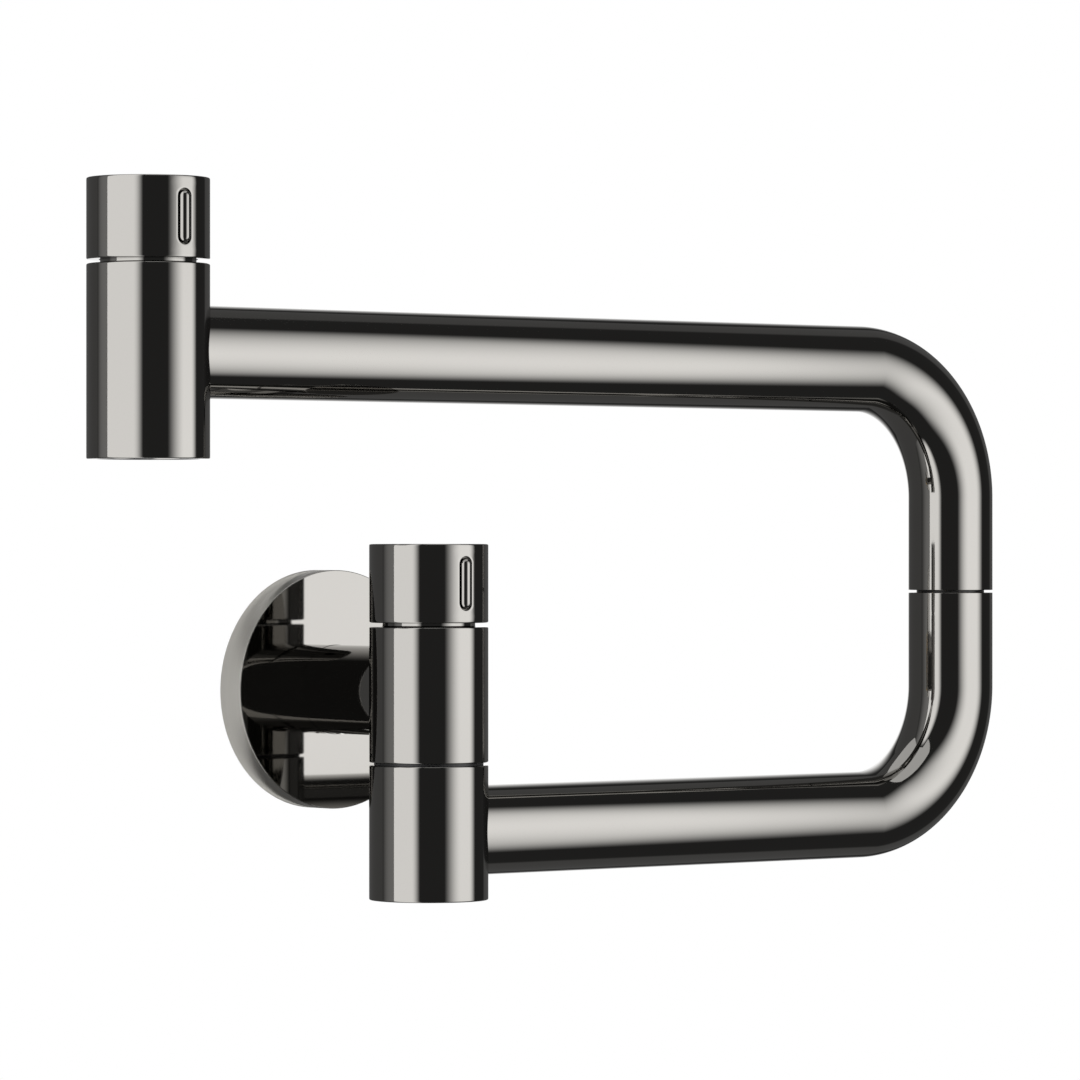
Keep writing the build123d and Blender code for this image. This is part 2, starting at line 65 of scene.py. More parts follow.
column_low, column_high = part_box("valve_body")
COLUMN_RADIUS = (column_high.x - column_low.x) / 2
COLUMN_Y = (column_low.y + column_high.y) / 2
COLUMN_AXIS = Vector((0, COLUMN_Y, 0))
outlet_low, outlet_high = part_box("outlet_body")
OUTLET_AXIS = Vector(((outlet_low.x + outlet_high.x) / 2, COLUMN_Y, 0))
ELBOW_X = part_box("elbow_slip_ring")[0].x / 2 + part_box("elbow_slip_ring")[1].x / 2

PIPE_RADIUS = 11 * MM
PIPE_BORE_RADIUS = 9.5 * MM
BEND_RADIUS = 33 * MM
EDGE_ROUNDING = 0.35 * MM
SAME_PLACE = 1e-7
print("column radius %.4f, axis y %.4f, elbow x %.4f" % (COLUMN_RADIUS, COLUMN_Y, ELBOW_X))

# %% [markdown]
# Shader maths reads best as plain arithmetic. A Wire wraps one output socket and overloads the
# operators, so that an expression on wires adds the Math nodes it needs. A Finish is one
# material, and its one method makes any other node: type, settings, then socket values.


# %% Wires and finishes
class Wire:
    """One output socket of a finish, ready for arithmetic."""

    def __init__(self, finish, socket):
        self.finish = finish
        self.socket = socket

    def maths(self, operation, *values):
        return self.finish.node("ShaderNodeMath", {"operation": operation}, dict(enumerate(values)))

    def __add__(self, other):
        return self.maths("ADD", self, other)

    def __radd__(self, other):
        return self.maths("ADD", other, self)

    def __sub__(self, other):
        return self.maths("SUBTRACT", self, other)

    def __rsub__(self, other):
        return self.maths("SUBTRACT", other, self)

    def __mul__(self, other):
        return self.maths("MULTIPLY", self, other)

    def __rmul__(self, other):
        return self.maths("MULTIPLY", other, self)


class Finish:
    """A node tree that is written with one method."""

    def __init__(self, tree):
        self.tree = tree
        tree.nodes.clear()

    def node(self, kind, settings=None, inputs=None, output=0):
        made = self.tree.nodes.new(kind)
        for name, value in (settings or {}).items():
            if name == "stops":
                ramp = made.color_ramp
                ramp.interpolation = value[0]
                while len(ramp.elements) < len(value[1]):
                    ramp.elements.new(1.0)
                for stop, (place, tone) in zip(ramp.elements, value[1]):
                    stop.position = place
                    stop.color = (tone, tone, tone, 1)
            else:
                setattr(made, name, value)
        for name, value in (inputs or {}).items():
            if isinstance(value, Wire):
                self.tree.links.new(value.socket, made.inputs[name])
            else:
                made.inputs[name].default_value = value
        return Wire(self, made.outputs[output])

    def noise(self, scale, detail=2.0, stretch=(1, 1, 1)):
        """Soft noise on the piece's own coordinates, centred on a half."""
        place = self.node("ShaderNodeTexCoord", output="Object")
        place = self.node("ShaderNodeMapping", inputs={"Vector": place, "Scale": stretch})
        texture = {"Vector": place, "Scale": scale, "Detail": detail}
        return self.node("ShaderNodeTexNoise", inputs=texture)

    def between(self, amount, first, second):
        """Colour between two colours."""
        mix = {"data_type": "RGBA"}
        return self.node("ShaderNodeMix", mix, {0: amount, 6: (*first, 1), 7: (*second, 1)}, output=2)

    def maximum(self, first, *others):
        """The largest of some wires."""
        for other in others:
            first = first.maths("MAXIMUM", first, other)
        return first

    def bump(self, height, strength, distance):
        settings = {"Height": height, "Strength": strength, "Distance": distance}
        return self.node("ShaderNodeBump", inputs=settings)

    def finish_with(self, **inputs):
        named = {name.replace("_", " "): value for name, value in inputs.items()}
        shader = self.node("ShaderNodeBsdfPrincipled", inputs=named)
        self.node_output(shader)

    def node_output(self, shader):
        end = self.tree.nodes.new("ShaderNodeOutputMaterial")
        self.tree.links.new(shader.socket, end.inputs["Surface"])


    def seen_directly_or_mirrored(self):
        """One for what the camera, metal or glass shows, and nothing for other light."""
        rays = self.node("ShaderNodeLightPath").socket.node.outputs
        kinds = ("Camera", "Glossy", "Transmission")
        return self.maximum(*[Wire(self, rays["Is %s Ray" % kind]) for kind in kinds])


def new_material(name):
    material = bpy.data.materials.new(name)
    material.use_nodes = True
    return material, Finish(material.node_tree)


# %% [markdown]
# The body finish is a dark platinum: polished brass under a thin hard metal coat. It is a
# mirror, so what one sees on it is mostly the studio. What makes it read as metal and not as
# a flat colour is a slow drift of its tone and a faint polishing haze that comes and goes.


# %% Polished dark platinum
def make_platinum(name, base_roughness, haze):
    material, finish = new_material(name)
    drift = finish.noise(18, 1.0)
    cloud = finish.noise(55, 3.0)
    finish.finish_with(
        Base_Color=finish.between(drift, (0.295, 0.287, 0.272), (0.312, 0.303, 0.288)),
        Metallic=1.0,
        Roughness=base_roughness + haze * cloud,
    )
    return material


platinum = make_platinum("dark_platinum", 0.035, 0.02)
print("finish:", platinum.name)

# %% [markdown]
# The rim of the wall cover is turned and left satin, which spreads the light of the studio
# into one soft gradient. Its base colour is painted nearly twice as light as the platinum's:
# that is painted light on the rim. Fine turning marks run round it, so the noise is stretched
# along the rim: it varies fast across the depth and slowly round the circle.


# %% Satin rim, its colour painted lighter
def make_satin_painted_lighter():
    material, finish = new_material("satin_rim_painted_lighter")
    marks = finish.noise(60, 2.0, (1, 60, 1))
    finish.finish_with(
        # Painted light: this base colour is nearly twice the platinum's, so the rim reads brighter
        # than its metal would.
        Base_Color=finish.between(marks, (0.54, 0.525, 0.49), (0.60, 0.585, 0.55)),
        Metallic=1.0,
        Roughness=0.5 + 0.06 * marks,
        Anisotropic=0.85,
        Normal=finish.bump(marks, 0.15, 0.02 * MM),
    )
    return material


satin_painted_lighter = make_satin_painted_lighter()

# %% [markdown]
# Inside are other materials: bare turned brass, rubber seals, sintered ceramic, stainless
# rings and screws, and moulded plastics. Each is a base colour that two noises move apart,
# a roughness that follows one of them, and a bump of its own scale.


# %% Inner materials
def make_plain(name, light, dark, metallic, roughness, grain_scale, grain_depth, stretch=(1, 1, 1)):
    """A finish with fine grain: colour and roughness drift, and the grain stands up a little."""
    material, finish = new_material(name)
    grain = finish.noise(grain_scale, 4.0, stretch)
    drift = finish.noise(40, 1.0)
    finish.finish_with(
        Base_Color=finish.between(0.6 * grain + 0.4 * drift, dark, light),
        Metallic=metallic,
        Roughness=roughness - 0.06 + 0.12 * drift,
        Normal=finish.bump(grain, 0.2, grain_depth),
    )
    return material


INNER_FINISHES = {
    "turned_brass": ((0.80, 0.60, 0.26), (0.66, 0.47, 0.18), 1.0, 0.24, 300, 0.03 * MM, (1, 1, 12)),
    "seal_rubber": ((0.035, 0.035, 0.036), (0.018, 0.018, 0.019), 0.0, 0.55, 900, 0.04 * MM),
    "valve_ceramic": ((0.86, 0.85, 0.82), (0.78, 0.77, 0.74), 0.0, 0.22, 700, 0.01 * MM),
    "stainless": ((0.62, 0.61, 0.59), (0.50, 0.49, 0.47), 1.0, 0.26, 350, 0.02 * MM, (1, 1, 10)),
    "strainer": ((0.55, 0.54, 0.52), (0.20, 0.20, 0.19), 1.0, 0.38, 1600, 0.2 * MM),
    "white_plastic": ((0.80, 0.80, 0.78), (0.73, 0.73, 0.71), 0.0, 0.36, 500, 0.03 * MM),
    "slip_ring_plastic": ((0.030, 0.030, 0.031), (0.016, 0.016, 0.017), 0.0, 0.38, 500, 0.03 * MM),
}
finishes = {name: make_plain(name, *values) for name, values in INNER_FINISHES.items()}
finishes["dark_platinum"] = platinum
print("finishes:", sorted(finishes))

# %% [markdown]
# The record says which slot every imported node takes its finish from. Nodes that aren't
# replaced below keep their shape and get that finish here.

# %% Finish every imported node
node_slot = {part["node"]: part["material_slot"] for part in frame["record"]["subparts"]}
for node_name, node in nodes.items():
    node.data.materials.clear()
    node.data.materials.append(finishes[node_slot[node_name]])
print("nodes by slot:", {slot: sum(s == slot for s in node_slot.values()) for slot in finishes})

# %% [markdown]
# Most pieces of a tap are turned on a lathe. The lathe here is bmesh's spin: half an outline
# is drawn as vertices and edges beside the axis, and swept all the way round. The doubles at
# the seam are merged, the normals recalculated, and the hard edges get a small rounding.

# %% The lathe
TURN_STEPS = 160


def verts_of(items):
    return [item for item in items if isinstance(item, bmesh.types.BMVert)]


def edges_of(items):
    return [item for item in items if isinstance(item, bmesh.types.BMEdge)]


def everything_in(bm):
    return bm.verts[:] + bm.edges[:] + bm.faces[:]


def new_object(bm, name):
    """Turn a bmesh into an object of the scene."""
    mesh = bpy.data.meshes.new(name)
    bm.to_mesh(mesh)
    bm.free()
    made = bpy.data.objects.new(name, mesh)
    bpy.context.scene.collection.objects.link(made)
    return made


def turned(outline, rounding=EDGE_ROUNDING, steps=TURN_STEPS, segments=3):
    """A closed outline of (radius, height) spun round Z, with its hard edges rounded."""
    bm = bmesh.new()
    corners = [bm.verts.new((radius, 0, height)) for radius, height in outline]
    pairs = zip(corners, corners[1:] + corners[:1])
    sides = [bm.edges.new(pair) for pair in pairs if pair[0].co.x or pair[1].co.x]
    axis = {"cent": (0, 0, 0), "axis": (0, 0, 1), "angle": FULL_TURN}
    bmesh.ops.spin(bm, geom=corners + sides, steps=steps, use_merge=True, **axis)
    bmesh.ops.remove_doubles(bm, verts=bm.verts, dist=1e-6)
    bmesh.ops.recalc_face_normals(bm, faces=bm.faces)
    if rounding:
        round_edges(bm, rounding, segments)
    return bm


def hard_edges(bm, angle=50):
    return [e for e in bm.edges if len(e.link_faces) == 2 and e.calc_face_angle() > radians(angle)]


def round_edges(bm, rounding, segments=3, edges=None):
    chosen = hard_edges(bm) if edges is None else edges
    settings = {"affect": "EDGES", "offset_type": "OFFSET", "profile": 0.5, "material": -1}
    bmesh.ops.bevel(bm, geom=chosen, offset=rounding, segments=segments, **settings)


def stand(bm, place, direction="up"):
    """Move a piece made round Z to its place, standing up or pointing out of the wall."""
    turn = Matrix.Rotation(QUARTER_TURN, 4, "X") if direction == "out" else Matrix.Identity(4)
    bmesh.ops.transform(bm, matrix=Matrix.Translation(place) @ turn, verts=bm.verts)
    return bm


def finish_piece(bm, name, body, slot, replaces=(), materials=None):
    """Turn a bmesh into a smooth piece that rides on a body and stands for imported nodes."""
    for edge in hard_edges(bm):
        edge.smooth = False
    piece = new_object(bm, name)
    mesh = piece.data
    for material in materials or [finishes[slot]]:
        mesh.materials.append(material)
    mesh.polygons.foreach_set("use_smooth", [True] * len(mesh.polygons))
    shading = piece.modifiers.new("flat faces stay flat", "WEIGHTED_NORMAL")
    shading.weight = 100
    shading.keep_sharp = True
    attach(piece, body)
    if replaces:
        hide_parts(*replaces)
    print("%-22s %6d faces" % (name, len(mesh.polygons)))


# %% [markdown]
# The wall cover is a shallow turned cup. Its front is a flat mirror with a hole for the stub,
# and its rim comes back to the wall. Only the faces of the rim take the satin finish, whose
# lighter colour is painted light.

# %% Wall cover
flange_low, flange_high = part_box("wall_flange")
flange_radius = flange_high.x
flange_depth = flange_high.y - flange_low.y
FLANGE_WALL = 2 * MM
FLANGE_BOSS_RADIUS = 15 * MM
FLANGE_BOSS_DEPTH = 3.2 * MM
FLANGE_HOLE_RADIUS = PIPE_RADIUS + 0.05 * MM
FLANGE_SIDES = 256
FLANGE_ROUNDING = 0.22 * MM
HOLE_ROUNDING = 0.03 * MM

flange = turned(
    [
        (flange_radius - FLANGE_WALL, 0),
        (flange_radius, 0),
        (flange_radius, flange_depth),
        (FLANGE_HOLE_RADIUS, flange_depth),
        (FLANGE_HOLE_RADIUS, flange_depth - FLANGE_BOSS_DEPTH),
        (FLANGE_BOSS_RADIUS, flange_depth - FLANGE_BOSS_DEPTH),
        (FLANGE_BOSS_RADIUS, flange_depth - FLANGE_WALL),
        (flange_radius - FLANGE_WALL, flange_depth - FLANGE_WALL),
    ],
    rounding=0,
    steps=FLANGE_SIDES,
)
rims = {"hole": [], "outside": []}
for edge in hard_edges(flange):
    corner = edge.verts[0].co
    rims["hole" if corner.xy.length < FLANGE_BOSS_RADIUS - 1 * MM else "outside"].append(edge)
round_edges(flange, FLANGE_ROUNDING, 3, rims["outside"])
round_edges(flange, HOLE_ROUNDING, 1, [edge for edge in rims["hole"] if edge.is_valid])
for face in flange.faces:
    middle = face.calc_center_median()
    on_rim = middle.xy.length > flange_radius - 0.02 * MM
    # Rim faces take the satin finish, whose lighter colour is painted light.
    face.material_index = 1 if on_rim else 0
stand(flange, (0, 0, 0), "out")
finish_piece(flange, "wall_cover", "wall_unit", "dark_platinum", ["wall_flange"], [platinum, satin_painted_lighter])


# %% [markdown]
# The stub and the arms are drawn pipe. A pipe here is two circles, its outside and its bore,
# whose edges are extruded along a straight run and spun round a bend. Where it meets a column
# its end is saddle-cut: each vertex of the first circles slides along the pipe until it lies
# on the column.


# %% Pipes
PIPE_SIDES = 96
BEND_STEPS = 64
JOINT_ROUNDING = 0.12 * MM


def pipe_start(bm, radius, place, direction):
    """A circle of edges round a point of the pipe's axis, square to its direction."""
    turn = direction.to_track_quat("Z", "Y").to_matrix().to_4x4()
    matrix = Matrix.Translation(place) @ turn
    bmesh.ops.create_circle(bm, segments=PIPE_SIDES, radius=radius, matrix=matrix)
    return bm.edges[-PIPE_SIDES:]


def run_on(bm, edges, step):
    """Extrude a circle of edges along a straight run, and give the new circle."""
    made = bmesh.ops.extrude_edge_only(bm, edges=edges)["geom"]
    bmesh.ops.translate(bm, verts=verts_of(made), vec=step)
    return edges_of(made)


def bend_on(bm, edges, centre, axis, angle):
    """Spin a circle of edges round a bend, and give the circle at its end."""
    bend = {"cent": centre, "axis": axis, "angle": angle, "steps": BEND_STEPS}
    return edges_of(bmesh.ops.spin(bm, geom=edges, use_merge=False, **bend)["geom_last"])


def saddle_cut(edges, axis, direction):
    """Slide a circle along the pipe until it lies on a column round that axis."""
    across = Vector((-direction.y, direction.x, 0))
    for vert in {vert for edge in edges for vert in edge.verts}:
        aside = (vert.co - axis).dot(across)
        along = sqrt(COLUMN_RADIUS**2 - aside**2)
        wanted = axis + across * aside + direction * along
        vert.co.x, vert.co.y = wanted.x, wanted.y


def close_pipe(bm, first, last):
    """Turn the bore's faces round, join it to the outside at both ends, and face all outwards."""
    bm.faces.ensure_lookup_table()
    bmesh.ops.reverse_faces(bm, faces=bm.faces[len(bm.faces) // 2 :])
    bmesh.ops.bridge_loops(bm, edges=first[0] + first[1])
    bmesh.ops.bridge_loops(bm, edges=last[0] + last[1])
    bmesh.ops.remove_doubles(bm, verts=bm.verts, dist=SAME_PLACE)
    bmesh.ops.recalc_face_normals(bm, faces=bm.faces)


def make_arm(axis, level, turn_sign, end):
    """Pipe from a column to the right, round a bend up or down, to a height."""
    bm = bmesh.new()
    right = Vector((1, 0, 0))
    start = Vector((axis.x + COLUMN_RADIUS, COLUMN_Y, level))
    bend_start = ELBOW_X - BEND_RADIUS
    centre = (bend_start, COLUMN_Y, level + turn_sign * BEND_RADIUS)
    first, last = [], []
    for radius in (PIPE_RADIUS, PIPE_BORE_RADIUS):
        circle = pipe_start(bm, radius, start, right)
        first.append(circle)
        reach = bend_start - start.x
        circle = run_on(bm, circle, (reach, 0, 0))
        circle = bend_on(bm, circle, centre, (0, -turn_sign, 0), QUARTER_TURN)
        bend_end = level + turn_sign * BEND_RADIUS
        last.append(run_on(bm, circle, (0, 0, end - bend_end)))
    for circle in first:
        saddle_cut(circle, axis, right)
    close_pipe(bm, first, last)
    joint_rims = [e for e in hard_edges(bm) if all(abs(v.co.z - end) < 1e-6 for v in e.verts)]
    round_edges(bm, JOINT_ROUNDING, 2, joint_rims)
    return bm


lower_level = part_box("lower_arm_pipe")[0].z + PIPE_RADIUS
elbow_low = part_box("elbow_slip_ring")[0].z
elbow_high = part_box("elbow_slip_ring")[1].z
upper_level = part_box("upper_arm_pipe")[1].z - PIPE_RADIUS
print("levels of the arms %.4f and %.4f" % (lower_level, upper_level))
print("elbow joint from %.5f to %.5f" % (elbow_low, elbow_high))

lower_arm = make_arm(COLUMN_AXIS, lower_level, 1, elbow_low)
finish_piece(lower_arm, "lower_arm_tube", "lower_arm", "dark_platinum", ["lower_arm_pipe"])
upper_arm = make_arm(OUTLET_AXIS, upper_level, -1, elbow_high)
finish_piece(upper_arm, "upper_arm_tube", "upper_arm", "dark_platinum", ["upper_arm_pipe"])

# %% [markdown]
# The stub between the wall and the valve column is turned from bar: it has a wide bore for the
# nipple and a narrower passage for the water. It is made standing up, laid down so that it
# points out of the wall, and then its far end is slid along its axis until it fits the column.

# %% Supply stub
nipple_low, nipple_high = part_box("inlet_nipple")
strainer_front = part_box("inlet_strainer")[0].y
stub_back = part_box("supply_stub")[1].y
SPIGOT_RADIUS = 8 * MM
STUB_BORE_RADIUS = SPIGOT_RADIUS + 0.05 * MM
STUB_PASSAGE_RADIUS = 6.5 * MM
stub_end = -COLUMN_Y

stub = turned(
    [
        (STUB_BORE_RADIUS, -stub_back),
        (PIPE_RADIUS, -stub_back),
        (PIPE_RADIUS, stub_end),
        (STUB_PASSAGE_RADIUS, stub_end),
        (STUB_PASSAGE_RADIUS, -strainer_front),
        (STUB_BORE_RADIUS, -strainer_front),
    ],
    rounding=0,
)
stand(stub, (0, 0, 0), "out")
for vert in stub.verts:
    if vert.co.y < COLUMN_Y + 1e-6:
        vert.co.y = COLUMN_Y + sqrt(COLUMN_RADIUS**2 - vert.co.x**2)
finish_piece(stub, "supply_stub_tube", "wall_unit", "dark_platinum", ["supply_stub"])

# %% [markdown]
# Behind the cover a brass nipple comes out of the wall: a pipe thread, a hexagon for the spanner
# and a smooth spigot in the stub. A screw thread is a spin that also climbs: the profile of one
# thread goes round and rises by one pitch in a turn, so its top edge meets the bottom edge of
# the next turn. Two planes a whole number of pitches apart cut the helix square. Their two cuts
# have the same outline, so the loops that run on from them to the bore match one to one.

# %% Nipple thread
INLET_THREAD_RADIUS = 10.48 * MM
THREAD_PITCH = 1.814 * MM
THREAD_DEPTH = 1.16 * MM
THREAD_TURNS = 8
THREAD_SIDES = 48
SPARE_TURNS = 3
THREAD_PROFILE = [(0, 0.0), (0, 0.13), (1, 0.44), (1, 0.57), (0, 0.87), (0, 1.0)]
LEAD_IN = 0.3 * MM
NIPPLE_BORE_RADIUS = 5.5 * MM
HEXAGON_START = 1.2 * MM


def step_to(bm, edges, radius, height):
    """Extrude a loop of edges round Z to a radius and a height, and give the new loop."""
    made = bmesh.ops.extrude_edge_only(bm, edges=edges)["geom"]
    for vert in verts_of(made):
        scale = radius / vert.co.xy.length
        vert.co = (vert.co.x * scale, vert.co.y * scale, height)
    return edges_of(made)


def cut_off(bm, place, normal):
    """Cut the mesh with a plane, drop what lies on the side of the normal, and give the rim."""
    cut = {"plane_co": place, "plane_no": normal, "clear_outer": True, "dist": SAME_PLACE}
    return edges_of(bmesh.ops.bisect_plane(bm, geom=everything_in(bm), **cut)["geom_cut"])


def make_thread(end, high):
    """Threaded tube round Z, from its lead-in up to the hexagon, closed at both ends."""
    bm = bmesh.new()
    low = high - THREAD_TURNS * THREAD_PITCH
    root = INLET_THREAD_RADIUS - THREAD_DEPTH
    start = low - SPARE_TURNS / 2 * THREAD_PITCH
    corners = []
    for rise, part in THREAD_PROFILE:
        corners.append(bm.verts.new((root + rise * THREAD_DEPTH, 0, start + part * THREAD_PITCH)))
    sides = [bm.edges.new(pair) for pair in zip(corners, corners[1:])]
    turns = THREAD_TURNS + SPARE_TURNS
    climb = {"cent": (0, 0, 0), "axis": (0, 0, 1), "dvec": (0, 0, THREAD_PITCH / THREAD_SIDES)}
    climb.update(angle=turns * FULL_TURN, steps=turns * THREAD_SIDES)
    bmesh.ops.spin(bm, geom=corners + sides, use_merge=False, **climb)
    bmesh.ops.remove_doubles(bm, verts=bm.verts, dist=0.02 * MM)
    lower = cut_off(bm, (0, 0, low), (0, 0, -1))
    upper = cut_off(bm, (0, 0, high), (0, 0, 1))
    lead_in = [(root, low), (root, end + LEAD_IN), (root - LEAD_IN, end), (NIPPLE_BORE_RADIUS, end)]
    for radius, height in lead_in:
        lower = step_to(bm, lower, radius, height)
    upper = step_to(bm, upper, NIPPLE_BORE_RADIUS, high)
    bmesh.ops.bridge_loops(bm, edges=lower + upper)
    bmesh.ops.recalc_face_normals(bm, faces=bm.faces)
    return bm


thread = make_thread(-nipple_high.y, HEXAGON_START)
stand(thread, (0, 0, 0), "out")
print("open edges of the thread:", sum(not edge.is_manifold for edge in thread.edges))
finish_piece(thread, "inlet_thread", "wall_unit", "turned_brass", ["inlet_nipple"])

# %% [markdown]
# The hexagon starts as a turned disc with slanted rims, and six planes cut its flats. That
# leaves the curved bright corners that a turned and milled nut has.

# %% Nipple hexagon and spigot
HEXAGON_END = 5 * MM
HEXAGON_FLATS = 24 * MM
HEXAGON_CHAMFER = 0.5 * MM
SEAL_GROOVES = (9 * MM, 16 * MM)
GROOVE_HALF_WIDTH = 0.9 * MM
GROOVE_RADIUS = SPIGOT_RADIUS - 1.2 * MM


def make_hexagon():
    corner = HEXAGON_FLATS / sqrt(3)
    outline = [
        (NIPPLE_BORE_RADIUS, HEXAGON_START),
        (corner - 2 * HEXAGON_CHAMFER, HEXAGON_START),
        (corner, HEXAGON_START + HEXAGON_CHAMFER),
        (corner, HEXAGON_END - HEXAGON_CHAMFER),
        (corner - 2 * HEXAGON_CHAMFER, HEXAGON_END),
        (SPIGOT_RADIUS, HEXAGON_END),
    ]
    for middle in SEAL_GROOVES:
        low, high = middle - GROOVE_HALF_WIDTH, middle + GROOVE_HALF_WIDTH
        outline += [(SPIGOT_RADIUS, low), (GROOVE_RADIUS, low)]
        outline += [(GROOVE_RADIUS, high), (SPIGOT_RADIUS, high)]
    outline += [(SPIGOT_RADIUS, -nipple_low.y), (NIPPLE_BORE_RADIUS, -nipple_low.y)]
    bm = turned(outline, rounding=0, steps=96)
    for side in range(6):
        angle = side * FULL_TURN / 6
        normal = Vector((sin(angle), cos(angle), 0))
        rim = cut_off(bm, normal * HEXAGON_FLATS / 2, normal)
        bmesh.ops.contextual_create(bm, geom=rim)
    bmesh.ops.recalc_face_normals(bm, faces=bm.faces)
    return stand(bm, (0, 0, 0), "out")


hexagon = make_hexagon()
print("open edges of the hexagon:", sum(not edge.is_manifold for edge in hexagon.edges))
finish_piece(hexagon, "inlet_hexagon", "wall_unit", "turned_brass")

# %% [markdown]
# The two columns are stacked turned pieces. Each body is a thick ring with a chamber for the
# valve and a narrower neck on top, which shows as the bottom of the groove under the knob.

# %% Column bodies
NECK_RADIUS = 11.3 * MM
NECK_RISE = 4 * MM
THREAD_RADIUS = 9 * MM
CHAMBER_RADIUS = 10.5 * MM
CHAMBER_HEIGHT = 15.5 * MM
SEAT_RADIUS = 5 * MM
SEAT_WEB = 3.5 * MM
SWIVEL_THREAD_LENGTH = 8 * MM
OUTLET_MOUTH_RADIUS = 12 * MM


def body_outline(low, top, seat, inner_foot):
    """Half section of a valve body, from its foot up the outside and down its chamber."""
    return [
        (COLUMN_RADIUS, low),
        (COLUMN_RADIUS, top),
        (NECK_RADIUS, top),
        (NECK_RADIUS, top + NECK_RISE),
        (THREAD_RADIUS, top + NECK_RISE),
        (THREAD_RADIUS, seat + CHAMBER_HEIGHT),
        (CHAMBER_RADIUS, seat + CHAMBER_HEIGHT),
        (CHAMBER_RADIUS, seat),
        (SEAT_RADIUS, seat),
        *inner_foot,
    ]


valve_top = column_high.z - NECK_RISE
valve_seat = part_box("wall_cartridge_seal")[0].z
swivel_thread_top = column_low.z + SWIVEL_THREAD_LENGTH
valve_foot = [
    (SEAT_RADIUS, swivel_thread_top),
    (THREAD_RADIUS, swivel_thread_top),
    (THREAD_RADIUS, column_low.z),
]
valve = turned(body_outline(column_low.z, valve_top, valve_seat, valve_foot))
stand(valve, COLUMN_AXIS)
finish_piece(valve, "valve_body_shell", "wall_unit", "dark_platinum", ["valve_body"])

outlet_top = outlet_high.z - NECK_RISE
outlet_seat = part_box("outlet_cartridge_seal")[0].z
washer_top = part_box("aerator_washer")[1].z
outlet_foot = [
    (SEAT_RADIUS, outlet_seat - SEAT_WEB),
    (THREAD_RADIUS, outlet_seat - SEAT_WEB),
    (THREAD_RADIUS, washer_top),
    (OUTLET_MOUTH_RADIUS, washer_top),
    (OUTLET_MOUTH_RADIUS, outlet_low.z),
]
outlet = turned(body_outline(outlet_low.z, outlet_top, outlet_seat, outlet_foot))
stand(outlet, OUTLET_AXIS)
finish_piece(outlet, "outlet_body_shell", "upper_arm", "dark_platinum", ["outlet_body"])

housing_low, housing_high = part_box("swivel_housing")
SWIVEL_BEARING_RADIUS = 8.05 * MM
SWIVEL_BEARING_LENGTH = 9.7 * MM
SWIVEL_BORE_RADIUS = 11 * MM
housing = turned(
    [
        (SWIVEL_BEARING_RADIUS, housing_high.z),
        (COLUMN_RADIUS, housing_high.z),
        (COLUMN_RADIUS, housing_low.z),
        (SWIVEL_BORE_RADIUS, housing_low.z),
        (SWIVEL_BORE_RADIUS, housing_high.z - SWIVEL_BEARING_LENGTH),
        (SWIVEL_BEARING_RADIUS, housing_high.z - SWIVEL_BEARING_LENGTH),
    ]
)
stand(housing, COLUMN_AXIS)
finish_piece(housing, "swivel_housing_shell", "lower_arm", "dark_platinum", ["swivel_housing"])

# %% [markdown]
# A knob is a turned cap with an upright slot in its front and a hole for its screw at the
# back. A Boolean would leave long thin faces that show in a mirror finish, so the openings are
# modelled: a window of faces is taken out of the wall, the outline of the opening is laid on
# the cylinder, the ring between them is bridged, and the outline is pushed inwards.

# %% Knob helpers
KNOB_SIDES = 180
SLOT_WIDTH = 3.8 * MM
SLOT_HEIGHT = 13.1 * MM
SLOT_DEPTH = 1.9 * MM
SCREW_HOLE_RADIUS = 2 * MM
SCREW_HOLE_DEPTH = 7 * MM
SCREW_RISE = 12.8 * MM
ROW_HEIGHT = 0.8 * MM
WINDOW_COLUMNS = 7  # to each side of the middle
WINDOW_MARGIN = 1.2 * MM
OPENING_ROUNDING = 0.1 * MM


def on_wall(vert):
    """True for a vertex that lies on the knob's outer wall."""
    return abs(vert.co.xy.length - COLUMN_RADIUS) < 0.005 * MM


def cut_opening(bm, side, centre, width, height, depth):
    """Sink a round-ended opening into the wall, on its front (side -1) or back (side 1)."""
    span = WINDOW_COLUMNS * FULL_TURN / KNOB_SIDES + 1e-4
    low, high = centre - height / 2 - WINDOW_MARGIN, centre + height / 2 + WINDOW_MARGIN
    window = []
    for face in bm.faces:
        middle = face.calc_center_median()
        aside = abs(atan2(middle.x, side * middle.y))
        outside = all(on_wall(vert) for vert in face.verts)
        if outside and aside < span and low < middle.z < high:
            window.append(face)
    bmesh.ops.delete(bm, geom=window, context="FACES")
    frame_edges = [edge for edge in bm.edges if edge.is_boundary]
    count = len(frame_edges)
    outline = []
    straight = (height - width) / 2
    around = FULL_TURN * width / 2 + 4 * straight
    for index in range(count):
        x, z = stadium_point(index / count * around, width / 2, straight)
        y = side * sqrt(COLUMN_RADIUS**2 - x**2)
        outline.append(bm.verts.new((x, y, centre + z)))
    rim = [bm.edges.new(pair) for pair in zip(outline, outline[1:] + outline[:1])]
    made = bmesh.ops.bridge_loops(bm, edges=frame_edges + rim)
    ring = [edge for edge in made["edges"] if edge not in rim and edge not in frame_edges]
    cut = bmesh.ops.subdivide_edges(bm, edges=ring, cuts=2, use_grid_fill=True)
    for vert in verts_of(cut["geom_inner"]):
        vert.co.xy = vert.co.xy * (COLUMN_RADIUS / vert.co.xy.length)
    made = bmesh.ops.extrude_edge_only(bm, edges=rim)["geom"]
    for vert in verts_of(made):
        vert.co.y = side * (COLUMN_RADIUS - depth)
    bmesh.ops.contextual_create(bm, geom=edges_of(made))
    return rim


